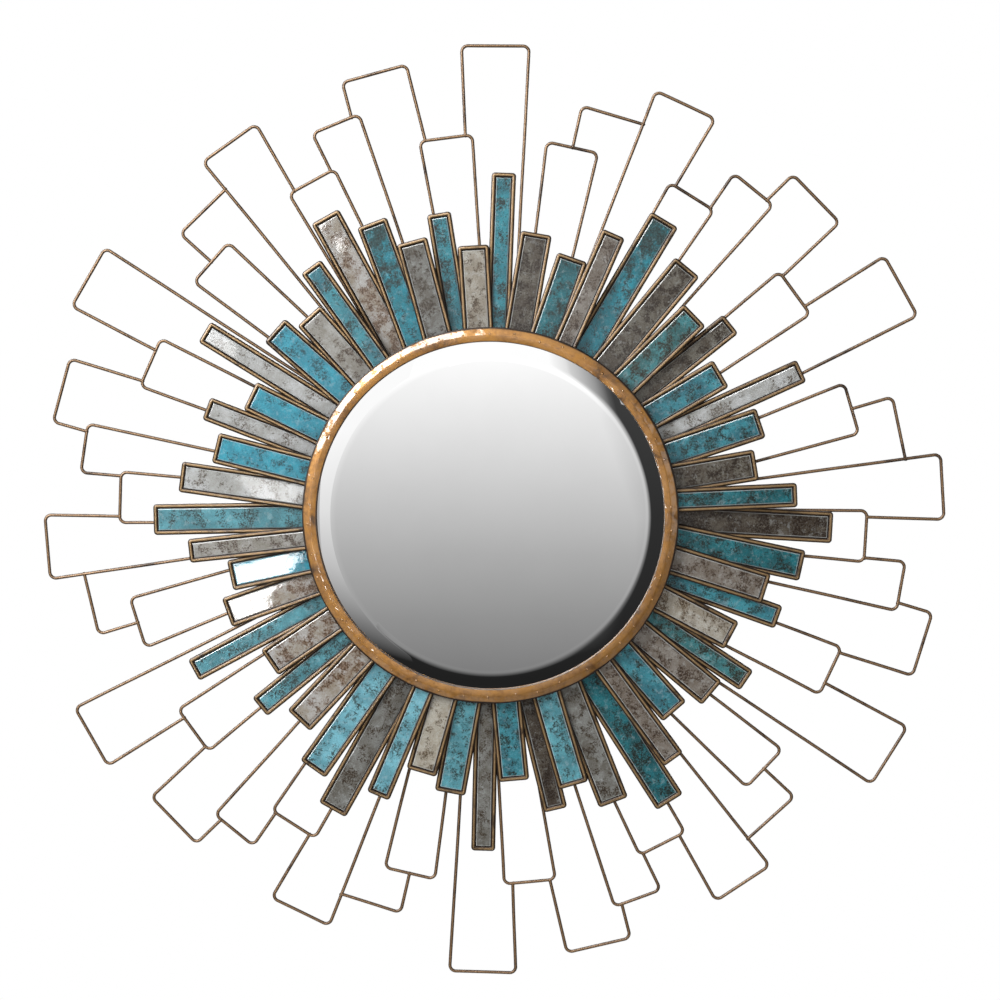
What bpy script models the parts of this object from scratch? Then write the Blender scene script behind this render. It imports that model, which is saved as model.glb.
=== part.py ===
"""Sunburst wall mirror: a round bevelled glass in a bronze ring, 54 inlaid trays fanned
around it in four layers, and a lattice of bent bronze wire loops behind the trays.

Metres, +Z up. The mirror faces -Y and hangs against a wall at y = 0. The origin is the middle
of the rear face of the hanging cleat. The pieces are laid out in a plan: bearings in degrees
clockwise from the top as the viewer sees them, radii from the middle of the glass, and depths
measured forward from the wall.
"""

import math

import bmesh
import bpy
from mathutils import Vector

# Gap left between pieces that touch
CLEARANCE = 0.0003

# Round pieces are turned with this many facets, one for each tray
TRAY_COUNT = 54
FACETS = TRAY_COUNT

# Bevelled mirror glass
GLASS_FLAT_RADIUS = 0.1585
GLASS_BEVEL_WIDTH = 0.0175
GLASS_THICKNESS = 0.0038
GLASS_EDGE_THICKNESS = 0.0022

# Bronze ring around the glass: how far its lip covers the glass, and its rounded section
RING_LIP_COVER = 0.0028
RING_WIDTH = 0.0138
RING_LIP_THICKNESS = 0.0011
RING_CREST_RISE = 0.0034
RING_SIDE_DROP = 0.0048
RING_CREST_SHARE = 0.47

# Board behind the glass, its edge inside the glass's, the cleat it hangs by and the strip that
# keeps it off the wall
BOARD_INSET = 0.004
BOARD_FRONT_STEP = 0.0015
BOARD_EDGE_BEVEL = 0.0012
CLEAT_THICKNESS = 0.008
CLEAT_LENGTH = 0.150
CLEAT_HEIGHT = 0.034
CLEAT_ABOVE_MIDDLE = 0.085
CLEAT_SLOPE_DEG = 45.0
STRIP_LENGTH = 0.110
STRIP_HEIGHT = 0.014
STRIP_BELOW_MIDDLE = 0.120
STRIP_EDGE_BEVEL = 0.0015

# Trays: rim section and inlay
TRAY_DEPTH = 0.0036
RIM_WIDTH = 0.0043
RIM_SHOULDER = 0.0022
INLAY_DROP = 0.0009
TRAY_CORNER_RADIUS = 0.0036
INLAY_CORNER_RADIUS = 0.0006
NARROW_TIP_WIDTH = 0.0245
NARROW_FOOT_WIDTH = 0.0241
WIDE_TIP_WIDTH = 0.0315
WIDE_FOOT_WIDTH = 0.0308

# How far from the middle of the glass each kind of tray reaches
LONG_REACH = 0.3396
UPPER_REACH = 0.3137
MIDDLE_REACH = 0.3043
SHORT_REACH = 0.2834
SHORTEST_REACH = 0.2684

# The nine trays of a sixth of the round, in order: reach, whether it is wide, and its layer,
# counted forward from the wires
SECTOR_TRAYS = (
    (LONG_REACH, False, 0),
    (SHORT_REACH, True, 1),
    (SHORTEST_REACH, True, 2),
    (MIDDLE_REACH, False, 3),
    (LONG_REACH, True, 0),
    (UPPER_REACH, True, 1),
    (SHORT_REACH, True, 2),
    (MIDDLE_REACH, False, 0),
    (SHORTEST_REACH, True, 1),
)
LAYER_COUNT = 4

# One narrow tray is short where the pattern has a long one
SHORTER_TRAY = 19

# The trays were set by hand, so each has its own bearing at its foot and at its tip
FOOT_BEARINGS = (
    (2.3, 8.9, 16.7, 23.5, 30.0, 37.3, 45.2, 51.4, 57.6),
    (64.4, 70.7, 78.3, 84.9, 90.9, 96.7, 103.1, 109.5, 115.8),
    (122.2, 128.2, 135.7, 142.5, 148.8, 155.4, 162.5, 168.8, 175.3),
    (181.4, 187.0, 194.4, 201.0, 207.3, 214.7, 222.8, 229.6, 236.3),
    (242.7, 248.9, 256.1, 262.7, 269.2, 276.0, 283.4, 289.9, 296.4),
    (303.2, 310.0, 317.5, 324.1, 330.6, 336.5, 343.4, 349.8, 356.1),
)
TIP_BEARINGS = (
    (2.2, 9.2, 17.6, 23.6, 30.4, 38.3, 45.4, 51.3, 58.2),
    (64.9, 70.9, 79.0, 85.9, 91.9, 99.0, 104.7, 109.4, 116.4),
    (122.8, 128.7, 136.7, 143.0, 148.0, 156.8, 162.9, 167.6, 175.0),
    (181.3, 188.3, 195.0, 201.8, 208.2, 214.9, 222.9, 230.1, 236.1),
    (242.2, 249.5, 256.8, 263.1, 269.0, 276.9, 283.7, 290.4, 296.3),
    (302.5, 310.5, 317.7, 324.2, 330.9, 337.9, 344.0, 350.2, 356.3),
)

# Bronze wire lattice
WIRE_DIAMETER = 0.0034
WIRE_SIDES = 5
WIRE_BEND_RADIUS = 0.006
WIRE_END_SHARE = 0.96
HUB_WIDTH = 0.009
HUB_THICKNESS = 0.0024
HUB_BEHIND_BOARD_REAR = 0.0033
LOW_BAR = 0.3746
MIDDLE_BAR = 0.4154
HIGH_BAR = 0.4504
TOP_BAR = 0.4661

# The eight loops of a sixth of the round. Each has the radius of its bar and its two legs. A leg
# has the bearing of its corner, how far it drifts clockwise for each unit it runs inwards, and
# what it is welded to: the hub, the bar of another loop, or the left leg of another loop.
SECTOR_LOOPS = {
    "top": (TOP_BAR, (-3.4, -0.020, "before:low_c"), (4.87, 0.029, "hub")),
    "low_a": (LOW_BAR, (8.70, 0.025, "hub"), (16.64, 0.048, "hub")),
    "step": (MIDDLE_BAR, (12.73, 0.0, "bar:low_a"), (21.4, 0.0, "leg:high_a")),
    "high_a": (HIGH_BAR, (21.40, 0.0, "hub"), (29.66, -0.020, "bar:low_b")),
    "low_b": (LOW_BAR, (28.47, -0.020, "hub"), (36.28, 0.030, "hub")),
    "middle": (MIDDLE_BAR, (35.55, 0.020, "bar:low_b"), (42.42, 0.010, "hub")),
    "high_b": (HIGH_BAR, (41.68, -0.070, "bar:middle"), (50.05, 0.058, "bar:low_c")),
    "low_c": (LOW_BAR, (49.88, 0.0, "hub"), (57.85, 0.018, "hub")),
}

# Degrees by which each sixth of the lattice is turned from an even spacing
SECTOR_TURNS = (-0.2, 0.7, 0.1, 0.05, 0.1, -0.7)
TOP_LOOP_TURNS = (-0.2, -0.1, 0.3, 0.3, 0.0, -0.3)

# How much further out than the pattern's radii the bars of each sixth stand
SECTOR_REACHES = (0.9985, 0.9985, 1.0, 1.0, 1.002, 1.008)

SECTORS = len(FOOT_BEARINGS)
SECTOR_DEG = 360.0 / SECTORS

# Depths from the wall that follow from the sizes above
BOARD_REAR = CLEAT_THICKNESS + CLEARANCE
WIRE_MIDDLE = BOARD_REAR + HUB_BEHIND_BOARD_REAR + WIRE_DIAMETER / 2
TRAYS_REAR = WIRE_MIDDLE + WIRE_DIAMETER / 2 + CLEARANCE
LAYER_STEP = TRAY_DEPTH + CLEARANCE
RING_REAR = TRAYS_REAR + LAYER_COUNT * LAYER_STEP
BOARD_FRONT = RING_REAR + BOARD_FRONT_STEP
GLASS_REAR = BOARD_FRONT + CLEARANCE
GLASS_RADIUS = GLASS_FLAT_RADIUS + GLASS_BEVEL_WIDTH
BOARD_RADIUS = GLASS_RADIUS - BOARD_INSET
RING_OPENING_RADIUS = GLASS_RADIUS - RING_LIP_COVER
RING_OUTER_RADIUS = RING_OPENING_RADIUS + RING_WIDTH
TRAY_FOOT_RADIUS = BOARD_RADIUS + CLEARANCE
HUB_INNER_RADIUS = BOARD_RADIUS + CLEARANCE
HUB_MIDDLE_RADIUS = HUB_INNER_RADIUS + HUB_WIDTH / 2


def clear_scene():
    for old in list(bpy.data.objects):
        bpy.data.objects.remove(old, do_unlink=True)


def make_material(name, color, roughness, metallic):
    material = bpy.data.materials.new(name)
    material.use_nodes = True
    shader = material.node_tree.nodes["Principled BSDF"]
    shader.inputs["Base Color"].default_value = (*color, 1.0)
    shader.inputs["Roughness"].default_value = roughness
    shader.inputs["Metallic"].default_value = metallic
    return material


def add_object(name, mesh, parent, *materials):
    made = bpy.data.objects.new(name, mesh)
    bpy.context.scene.collection.objects.link(made)
    made.parent = parent
    for material in materials:
        if material.name not in mesh.materials:
            mesh.materials.append(material)
    return made


def mesh_from(name, shape, smooth_below_deg=None):
    bmesh.ops.recalc_face_normals(shape, faces=shape.faces)
    mesh = bpy.data.meshes.new(name)
    shape.to_mesh(mesh)
    shape.free()
    if smooth_below_deg is not None:
        mesh.shade_smooth()
        mesh.set_sharp_from_angle(angle=math.radians(smooth_below_deg))
    return mesh


def loft(shape, rings, closed=False):
    """Joins rings of points by bands of faces. An open loft gets a face on each end."""
    loops = [[shape.verts.new(point) for point in ring] for ring in rings]
    pairs = list(zip(loops, loops[1:]))
    if closed:
        pairs.append((loops[-1], loops[0]))
    for lower, upper in pairs:
        for i in range(len(lower)):
            j = (i + 1) % len(lower)
            shape.faces.new((lower[i], lower[j], upper[j], upper[i]))
    if closed:
        return None
    rear = shape.faces.new(list(reversed(loops[0])))
    front = shape.faces.new(loops[-1])
    return rear, front


def circle(radius, depth):
    return [
        Vector((
            radius * math.sin(2 * math.pi * i / FACETS),
            radius * math.cos(2 * math.pi * i / FACETS),
            depth,
        ))
        for i in range(FACETS)
    ]


def turned(name, profile, closed=False):
    """A round piece from (radius, depth) pairs. A closed profile makes a ring."""
    shape = bmesh.new()
    loft(shape, [circle(radius, depth) for radius, depth in profile], closed)
    return mesh_from(name, shape, smooth_below_deg=30)


def around(bearing_deg):
    """Unit vectors of the plan at a bearing: outwards, and sideways in the clockwise sense."""
    angle = math.radians(bearing_deg)
    outwards = Vector((math.sin(angle), math.cos(angle)))
    sideways = Vector((math.cos(angle), -math.sin(angle)))
    return outwards, sideways


# Round middle

def make_glass(parent, material):
    profile = (
        (GLASS_RADIUS, GLASS_REAR),
        (GLASS_RADIUS, GLASS_REAR + GLASS_EDGE_THICKNESS),
        (GLASS_FLAT_RADIUS, GLASS_REAR + GLASS_THICKNESS),
    )
    add_object("mirror_glass", turned("mirror_glass", profile), parent, material)


def bevel_front_at(radius):
    """Depth of the bevelled front of the glass."""
    share = (radius - GLASS_FLAT_RADIUS) / GLASS_BEVEL_WIDTH
    return GLASS_REAR + GLASS_THICKNESS - share * (GLASS_THICKNESS - GLASS_EDGE_THICKNESS)


def make_ring(parent, material):
    wall = GLASS_RADIUS + CLEARANCE
    lip_rear = bevel_front_at(RING_OPENING_RADIUS) + CLEARANCE
    lip_front = lip_rear + RING_LIP_THICKNESS
    crest_depth = lip_front + RING_CREST_RISE
    crest_radius = RING_OPENING_RADIUS + RING_CREST_SHARE * RING_WIDTH
    inner_shoulder = (RING_OPENING_RADIUS + crest_radius) / 2
    outer_shoulder = (RING_OUTER_RADIUS + crest_radius) / 2
    side_depth = crest_depth - RING_SIDE_DROP
    profile = (
        (wall, RING_REAR),
        (RING_OUTER_RADIUS, RING_REAR),
        (RING_OUTER_RADIUS, side_depth),
        (outer_shoulder, crest_depth - RING_SIDE_DROP * 0.25),
        (crest_radius, crest_depth),
        (inner_shoulder, crest_depth - RING_CREST_RISE * 0.25),
        (RING_OPENING_RADIUS, lip_front),
        (RING_OPENING_RADIUS, lip_rear),
        (wall, lip_rear),
    )
    add_object("ring_frame", turned("ring_frame", profile, closed=True), parent, material)


def make_board(parent, material):
    profile = (
        (BOARD_RADIUS - BOARD_EDGE_BEVEL, BOARD_REAR),
        (BOARD_RADIUS, BOARD_REAR + BOARD_EDGE_BEVEL),
        (BOARD_RADIUS, BOARD_FRONT),
    )
    add_object("backing_board", turned("backing_board", profile), parent, material)


def make_cleat(parent, material):
    """A bar whose lower edge slopes so that it drops behind a matching bar on the wall."""
    half = CLEAT_HEIGHT / 2
    rise = CLEAT_THICKNESS * math.tan(math.radians(CLEAT_SLOPE_DEG))
    section = ((-half, 0.0), (half, 0.0), (half, CLEAT_THICKNESS), (-half + rise, CLEAT_THICKNESS))
    shape = bmesh.new()
    rings = [
        [Vector((x, CLEAT_ABOVE_MIDDLE + up, depth)) for up, depth in section]
        for x in (-CLEAT_LENGTH / 2, CLEAT_LENGTH / 2)
    ]
    loft(shape, rings)
    add_object("hanging_cleat", mesh_from("hanging_cleat", shape), parent, material)


def make_strip(parent, material):
    shape = bmesh.new()
    bmesh.ops.create_cube(shape, size=1.0)
    size = Vector((STRIP_LENGTH, STRIP_HEIGHT, CLEAT_THICKNESS))
    bmesh.ops.scale(shape, vec=size, verts=shape.verts)
    upright = [edge for edge in shape.edges if abs(edge.verts[0].co.z - edge.verts[1].co.z) > 1e-6]
    bmesh.ops.bevel(shape, geom=upright, offset=STRIP_EDGE_BEVEL, segments=2, affect="EDGES")
    middle = Vector((0.0, -STRIP_BELOW_MIDDLE, CLEAT_THICKNESS / 2))
    bmesh.ops.translate(shape, vec=middle, verts=shape.verts)
    add_object("spacer_strip", mesh_from("spacer_strip", shape), parent, material)


# Trays

def tray_outline(length, foot_width, tip_width, inset, depth):
    """Outline of a tray seen from the front, with its tip corners rounded."""
    corner = max(TRAY_CORNER_RADIUS - inset, INLAY_CORNER_RADIUS)
    foot_half = foot_width / 2 - inset
    tip_half = tip_width / 2 - inset
    tip = length - inset
    points = [(-foot_half, inset), (foot_half, inset)]
    for side, turns in ((1, (0, 45, 90)), (-1, (90, 45, 0))):
        for turn in turns:
            angle = math.radians(turn)
            across = tip_half - corner + corner * math.cos(angle)
            along = tip - corner + corner * math.sin(angle)
            points.append((side * across, along))
    return [Vector((x, y, depth)) for x, y in points]


def tray_mesh(name, length, wide):
    foot_width = WIDE_FOOT_WIDTH if wide else NARROW_FOOT_WIDTH
    tip_width = WIDE_TIP_WIDTH if wide else NARROW_TIP_WIDTH
    sections = (
        (0.0, 0.0),
        (0.0, RIM_SHOULDER),
        (RIM_WIDTH / 2, TRAY_DEPTH),
        (RIM_WIDTH, TRAY_DEPTH - INLAY_DROP),
    )
    rings = [tray_outline(length, foot_width, tip_width, inset, depth) for inset, depth in sections]
    shape = bmesh.new()
    _, inlay = loft(shape, rings)
    inlay.material_index = 1
    return mesh_from(name, shape)


def make_trays(parent, bronze, teal, grey):
    number = 0
    for sector in range(SECTORS):
        for place, (reach, wide, layer) in enumerate(SECTOR_TRAYS):
            number += 1
            if number == SHORTER_TRAY:
                reach = MIDDLE_REACH
            foot_bearing = FOOT_BEARINGS[sector][place]
            tip_bearing = TIP_BEARINGS[sector][place]
            outwards = around(foot_bearing)[0]
            tip = around(tip_bearing)[0] * reach
            lean = outwards.angle(tip - outwards * TRAY_FOOT_RADIUS)
            # A leaning tray starts further out, so that the corner of its foot clears the board
            foot_width = WIDE_FOOT_WIDTH if wide else NARROW_FOOT_WIDTH
            foot = outwards * (TRAY_FOOT_RADIUS + foot_width / 2 * math.tan(lean))
            run = tip - foot
            name = f"tray_{number:02d}"
            inlay = teal if number % 2 else grey
            tray = add_object(name, tray_mesh(name, run.length, wide), parent, bronze, inlay)
            tray.location = (foot.x, foot.y, TRAYS_REAR + layer * LAYER_STEP)
            tray.rotation_euler.z = math.atan2(-run.x, run.y)


# Wire lattice

def corner_of(bearing, radius):
    return around(bearing)[0] * radius


def inward_line(leg, turn, radius):
    """Where a leg starts and the way it runs inwards."""
    outwards, sideways = around(leg[0] + turn)
    return outwards * radius, sideways * leg[1] - outwards


def meeting(start, way, first, second):
    """Where the line from start along way crosses the line through two points."""
    across = second - first
    share = (first - start).cross(across) / way.cross(across)
    return start + way * share


def turns_of(sector, name):
    """How far a loop is turned from its place in the pattern. Sector -1 is the last one."""
    turns = TOP_LOOP_TURNS if name == "top" else SECTOR_TURNS
    return sector * SECTOR_DEG + turns[sector]


def bar_radius(sector, name):
    return SECTOR_LOOPS[name][0] * SECTOR_REACHES[sector]


def bar_of(sector, name):
    """The two corners between which a loop's bar runs."""
    _, left, right = SECTOR_LOOPS[name]
    turn = turns_of(sector, name)
    radius = bar_radius(sector, name)
    return corner_of(left[0] + turn, radius), corner_of(right[0] + turn, radius)


def leg_end(sector, name, leg):
    radius = bar_radius(sector, name)
    start, way = inward_line(leg, turns_of(sector, name), radius)
    if leg[2] == "hub":
        return start + way * (radius - HUB_MIDDLE_RADIUS)
    kind, other = leg[2].split(":")
    first, second = bar_of(sector - 1 if kind == "before" else sector, other)
    return meeting(start, way, first, second)


def loop_path(sector, name):
    _, left, right = SECTOR_LOOPS[name]
    first, second = bar_of(sector, name)
    path = [leg_end(sector, name, left), first]
    if right[2].startswith("leg:"):
        other = right[2].split(":")[1]
        _, other_left, _ = SECTOR_LOOPS[other]
        reach = bar_radius(sector, other)
        start, way = inward_line(other_left, turns_of(sector, other), reach)
        path.append(start + way * (reach - bar_radius(sector, name)))
    else:
        path += [second, leg_end(sector, name, right)]
    return path


def bent(path):
    """The path with each of its corners cut by an arc of the bend radius."""
    points = [path[0]]
    for before, corner, after in zip(path, path[1:], path[2:]):
        back = (before - corner).normalized()
        on = (after - corner).normalized()
        half = back.angle(on) / 2
        reach = WIRE_BEND_RADIUS / math.tan(half)
        middle = (back + on).normalized()
        pulled = WIRE_BEND_RADIUS / math.sin(half) - WIRE_BEND_RADIUS
        points += [corner + back * reach, corner + middle * pulled, corner + on * reach]
    return points + [path[-1]]


def wire_mesh(name, path):
    """A faceted wire along a path in the plan, a little thinner where it runs into its weld."""
    points = bent(path)
    radius = WIRE_DIAMETER / 2
    rings = []
    for i, point in enumerate(points):
        before = (point - points[i - 1]).normalized() if i else None
        after = (points[i + 1] - point).normalized() if i < len(points) - 1 else None
        at_end = before is None or after is None
        way = (before or after) if at_end else (before + after).normalized()
        mitre = 1.0 if at_end else 1.0 / way.dot(after)
        size = radius * (WIRE_END_SHARE if at_end else 1.0)
        sideways = Vector((way.y, -way.x))
        ring = []
        for k in range(WIRE_SIDES):
            angle = math.pi / 2 + 2 * math.pi * k / WIRE_SIDES
            flat = point + sideways * size * mitre * math.cos(angle)
            ring.append(Vector((flat.x, flat.y, WIRE_MIDDLE + size * math.sin(angle))))
        rings.append(ring)
    shape = bmesh.new()
    loft(shape, rings)
    return mesh_from(name, shape)


def make_wires(parent, material):
    wires = bpy.data.collections.new("wire_loops")
    bpy.context.scene.collection.children.link(wires)
    for sector in range(SECTORS):
        for name in SECTOR_LOOPS:
            wire_name = f"loop_{sector + 1}_{name}"
            mesh = wire_mesh(wire_name, loop_path(sector, name))
            wire = bpy.data.objects.new(wire_name, mesh)
            wires.objects.link(wire)
            wire.parent = parent
            wire.hide_render = True
            wire.display_type = "WIRE"
    rear = WIRE_MIDDLE - HUB_THICKNESS / 2
    front = WIRE_MIDDLE + HUB_THICKNESS / 2
    outer = HUB_INNER_RADIUS + HUB_WIDTH
    profile = ((HUB_INNER_RADIUS, rear), (outer, rear), (outer, front), (HUB_INNER_RADIUS, front))
    hub = add_object("wire_rays", turned("wire_rays", profile, closed=True), parent, material)
    union = hub.modifiers.new("welded_loops", "BOOLEAN")
    union.operation = "UNION"
    union.operand_type = "COLLECTION"
    union.collection = wires
    union.solver = "EXACT"


def main():
    clear_scene()
    bronze = make_material("antique_bronze", (0.36, 0.22, 0.10), 0.38, 1.0)
    wire_bronze = make_material("wire_bronze", (0.33, 0.21, 0.11), 0.42, 1.0)
    teal = make_material("teal_inlay", (0.06, 0.25, 0.32), 0.15, 0.0)
    grey = make_material("grey_inlay", (0.28, 0.27, 0.25), 0.18, 0.0)
    silver = make_material("silvered_glass", (0.92, 0.93, 0.93), 0.02, 1.0)
    board = make_material("blackened_board", (0.035, 0.030, 0.027), 0.70, 0.0)
    steel = make_material("dark_steel", (0.10, 0.09, 0.085), 0.50, 0.8)
    felt = make_material("felt_strip", (0.05, 0.05, 0.05), 0.95, 0.0)

    # The plan's up is the world's up and its depth runs out from the wall, towards -Y
    middle = bpy.data.objects.new("middle_of_glass", None)
    bpy.context.scene.collection.objects.link(middle)
    middle.location.z = -CLEAT_ABOVE_MIDDLE
    middle.rotation_euler.x = math.radians(90)

    make_glass(middle, silver)
    make_ring(middle, bronze)
    make_board(middle, board)
    make_cleat(middle, steel)
    make_strip(middle, felt)
    make_trays(middle, bronze, teal, grey)
    make_wires(middle, wire_bronze)


main()
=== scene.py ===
"""Looks for the sunburst wall mirror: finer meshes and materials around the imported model.

Metres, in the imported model's frame. Most pieces are made in a plan of the mirror, as its viewer
sees it: x to the right, y up from the middle of the glass, and z forward from the wall.
"""

import math

import bmesh
import bpy
from mathutils import Matrix, Vector, noise


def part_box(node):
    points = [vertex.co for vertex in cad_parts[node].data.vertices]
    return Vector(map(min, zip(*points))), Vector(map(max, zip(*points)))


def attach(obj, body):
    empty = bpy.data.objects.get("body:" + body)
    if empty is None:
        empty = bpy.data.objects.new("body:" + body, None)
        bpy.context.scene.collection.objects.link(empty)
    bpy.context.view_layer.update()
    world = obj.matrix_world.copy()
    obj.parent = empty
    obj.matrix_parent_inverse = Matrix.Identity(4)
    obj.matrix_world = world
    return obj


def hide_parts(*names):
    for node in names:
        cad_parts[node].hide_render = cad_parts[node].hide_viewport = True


BODY = "root"

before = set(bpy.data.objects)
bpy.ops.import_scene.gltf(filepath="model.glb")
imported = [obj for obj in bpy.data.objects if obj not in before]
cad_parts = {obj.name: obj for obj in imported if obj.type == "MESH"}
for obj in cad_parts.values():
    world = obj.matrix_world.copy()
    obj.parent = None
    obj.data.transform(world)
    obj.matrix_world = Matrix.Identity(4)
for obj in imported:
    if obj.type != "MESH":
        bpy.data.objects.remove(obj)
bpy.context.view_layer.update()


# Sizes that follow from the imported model

def depth_range(node):
    """How far the rear and the front of a node stand from the wall."""
    low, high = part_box(node)
    return -high.y, -low.y


def radius_of(node):
    low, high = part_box(node)
    return (high.z - low.z) / 2


RING_LOW, RING_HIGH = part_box("ring_frame")
MIDDLE_UP = (RING_LOW.z + RING_HIGH.z) / 2
PLAN = Matrix.Translation((0, 0, MIDDLE_UP)) @ Matrix.Rotation(math.radians(90), 4, "X")

GLASS_RADIUS = radius_of("mirror_glass")
GLASS_REAR, GLASS_FRONT = depth_range("mirror_glass")
RING_RADIUS = radius_of("ring_frame")
RING_REAR, RING_FRONT = depth_range("ring_frame")
BOARD_RADIUS = radius_of("backing_board")
BOARD_REAR, BOARD_FRONT = depth_range("backing_board")
WIRE_REAR, WIRE_FRONT = depth_range("wire_rays")

# Gap left between pieces that touch
CLEARANCE = 0.0003

# Bevelled glass
BEVEL_EDGE = 0.1588
BEVEL_JOIN = 0.0055
BEVEL_SLOPES = (0.080, 0.103)
BEVEL_STEPS = 24
BEVEL_CHAMFER = 0.0004
GLASS_SEGMENTS = 216

# The flat turns into the bevel softly around this bearing, and sharply far from it
SOFT_MIDDLE_DEG = 105.0
SOFT_END_DEG = 123.0
SOFT_FADE_DEG = 28.0

# Ring section and its punched pimples
RING_OPENING = 0.1732
RING_LIP_REAR = 0.0352
RING_CREST_SHARE = 0.42
RING_INNER_FALL = 0.0005
RING_OUTER_FALL = 0.0031
RING_STEPS = 24
RING_SEGMENTS = 324
RING_WAVER = 0.00012
PIMPLE_COUNT = 46
PIMPLE_RADIUS = 0.0013
PIMPLE_RISE = 0.0005
PIMPLE_ROOM = 0.0004
PIMPLE_SINK = 0.0002

# Dark stains on the ring, as shares of its width: where the outer one starts, how much its edge
# wanders, how far the inner one reaches, and how soon both are full
RING_STAIN_START = 0.85
RING_STAIN_WANDER = 0.05
RING_STAIN_INNER = 0.03
RING_STAIN_FADE = 0.05

# Shade painted on the ring's side turned from the key light is darkest round this bearing, and this dark
# there
RING_PAINTED_SHADE_DEG = 140.0
RING_PAINTED_SHADE = 0.42

# Trays and inlays
TRAY_COUNT = 54
RIM_WIDTH = 0.0046
RIM_SHOULDER = 0.0019
BAR_STEPS = 12
GROOVE_DEPTH = 0.0017
TRAY_CORNER = 0.0036
FOOT_CORNER = 0.0012
SIDE_STEPS = 16
END_STEPS = 4
CORNER_STEPS = 5
RIM_DRIFT = 0.00010
RIM_SINK = 0.00009
INLAY_INSET = 0.0050
INLAY_DROP = 0.0008
INLAY_BEVEL = 0.0010
INLAY_BEVEL_DROP = 0.0006
INLAY_REAR = 0.0006
INLAY_ROWS = 12
INLAY_COLUMNS = 6
INLAY_RIPPLE = 0.00003
GROUND_SHARE = 0.50
# How pale the frosted edge of the inlays is, partly a painted highlight of the bevel catching light
GROUND_GLINT_PALENESS = 0.32

# Wires
CAD_WIRE_RADIUS = 0.0017
WIRE_RADIUS = 0.00165
WIRE_SIDES = 12
WIRE_STEP = 0.009
WIRE_BEND_RADIUS = 0.006
WIRE_BEND_STEPS = 8
WIRE_WAVE = 0.00035
HUB_WIDTH = 0.009
HUB_THICKNESS = 0.0024
BEAD_RADIUS = 0.0023
BEAD_LUMPS = 0.22
BEAD_FLATNESS = 0.72

# Back
SCREW_RADIUS = 0.0034
SCREW_RISE = 0.0012
BOARD_SCREWS = 8
BOARD_SCREW_INSET = 0.014
CLEAT_SCREWS = (-0.42, -0.15, 0.15, 0.42)
CLEAT_SCREWS_UP = 0.16

# The cross in a screw's head: half its width and its reach as shares of the head's radius, and how
# much of the dome's height is left in it
CROSS_HALF_WIDTH = 0.16
CROSS_REACH = 0.62
CROSS_HEIGHT = 0.35

# The camera stands a little to the right and above the mirror's axis. A millimetre of the plane of
# the wires is one pixel of the photograph.
CAMERA_DISTANCE = 2.5
CAMERA_AZIMUTH_DEG = 3.0
CAMERA_ELEVATION_DEG = 4.1
VIEW_WIDTH = 1.0
SENSOR_WIDTH = 36.0
IMAGE_SIDE = 1000
MIDDLE_IN_IMAGE = (491.0, 514.7)

# Studio
FLOOR_BELOW_MIDDLE = 1.5
FLOOR_RADIUS = 2.8
CARD_DISTANCE = 3.0

# What the middle of the glass shows of the cards, across and up from its own place
SHOWN_BY_MIDDLE = (-0.156, -0.216)


# Mesh helpers

def add_piece(name, shape, material, slot, *nodes, smooth_below_deg=35):
    """Makes a piece of the plan's shape that rides on the mirror and stands for CAD nodes."""
    bmesh.ops.recalc_face_normals(shape, faces=shape.faces)
    mesh = bpy.data.meshes.new(name)
    shape.to_mesh(mesh)
    shape.free()
    mesh.transform(PLAN)
    mesh.shade_smooth()
    mesh.set_sharp_from_angle(angle=math.radians(smooth_below_deg))
    mesh.materials.append(material)
    piece = bpy.data.objects.new(name, mesh)
    bpy.context.scene.collection.objects.link(piece)
    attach(piece, BODY)
    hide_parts(*nodes)


def loft(shape, rings, closed=False):
    """Joins rings of points by bands of faces. An open loft gets a face on each end."""
    loops = [[shape.verts.new(point) for point in ring] for ring in rings]
    pairs = list(zip(loops, loops[1:]))
    if closed:
        pairs.append((loops[-1], loops[0]))
    for lower, upper in pairs:
        for i in range(len(lower)):
            j = (i + 1) % len(lower)
            shape.faces.new((lower[i], lower[j], upper[j], upper[i]))
    if not closed:
        shape.faces.new(list(reversed(loops[0])))
        shape.faces.new(loops[-1])
    return loops


def wobble(seed, *place):
    """Smooth noise from -1 to 1, the same on every run."""
    x, y, z = (*place, 0.0, 0.0)[:3]
    return noise.noise(Vector((x + seed * 17.3, y - seed * 5.1, z + seed * 9.7)))


def around(bearing_deg):
    """Unit vectors of the plan at a bearing: outwards, and sideways in the clockwise sense."""
    angle = math.radians(bearing_deg)
    return Vector((math.sin(angle), math.cos(angle))), Vector((math.cos(angle), -math.sin(angle)))


def circle(radius, depth, segments):
    return [
        Vector((
            radius * math.sin(2 * math.pi * i / segments),
            radius * math.cos(2 * math.pi * i / segments),
            depth,
        ))
        for i in range(segments)
    ]


def wear_and_shading_layer(shape):
    """The attribute that tells bronze, paint and steel where they are worn, and where shade and highlights
    are painted on them.
    """
    return shape.verts.layers.float.new("wear_and_shading")


# Materials

DARK = (0.014, 0.008, 0.005)
BLOOM = (0.72, 0.78, 0.80)
# Pale frosted edge of the inlays, partly a painted highlight
GROUND_GLASS_GLINT = (0.84, 0.88, 0.88)


def new_material(name):
    material = bpy.data.materials.new(name)
    material.use_nodes = True
    return material, material.node_tree, material.node_tree.nodes["Principled BSDF"]


def plug(tree, node, socket, value):
    if isinstance(value, bpy.types.NodeSocket):
        tree.links.new(value, node.inputs[socket])
    else:
        node.inputs[socket].default_value = value


def plug_all(tree, node, values):
    for socket, value in values.items():
        plug(tree, node, socket, value)


def position(tree):
    return tree.nodes.new("ShaderNodeTexCoord").outputs["Object"]


def scaled(tree, vector, factors):
    node = tree.nodes.new("ShaderNodeVectorMath")
    node.operation = "MULTIPLY"
    plug(tree, node, 0, vector)
    plug(tree, node, 1, factors)
    return node.outputs["Vector"]


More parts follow.
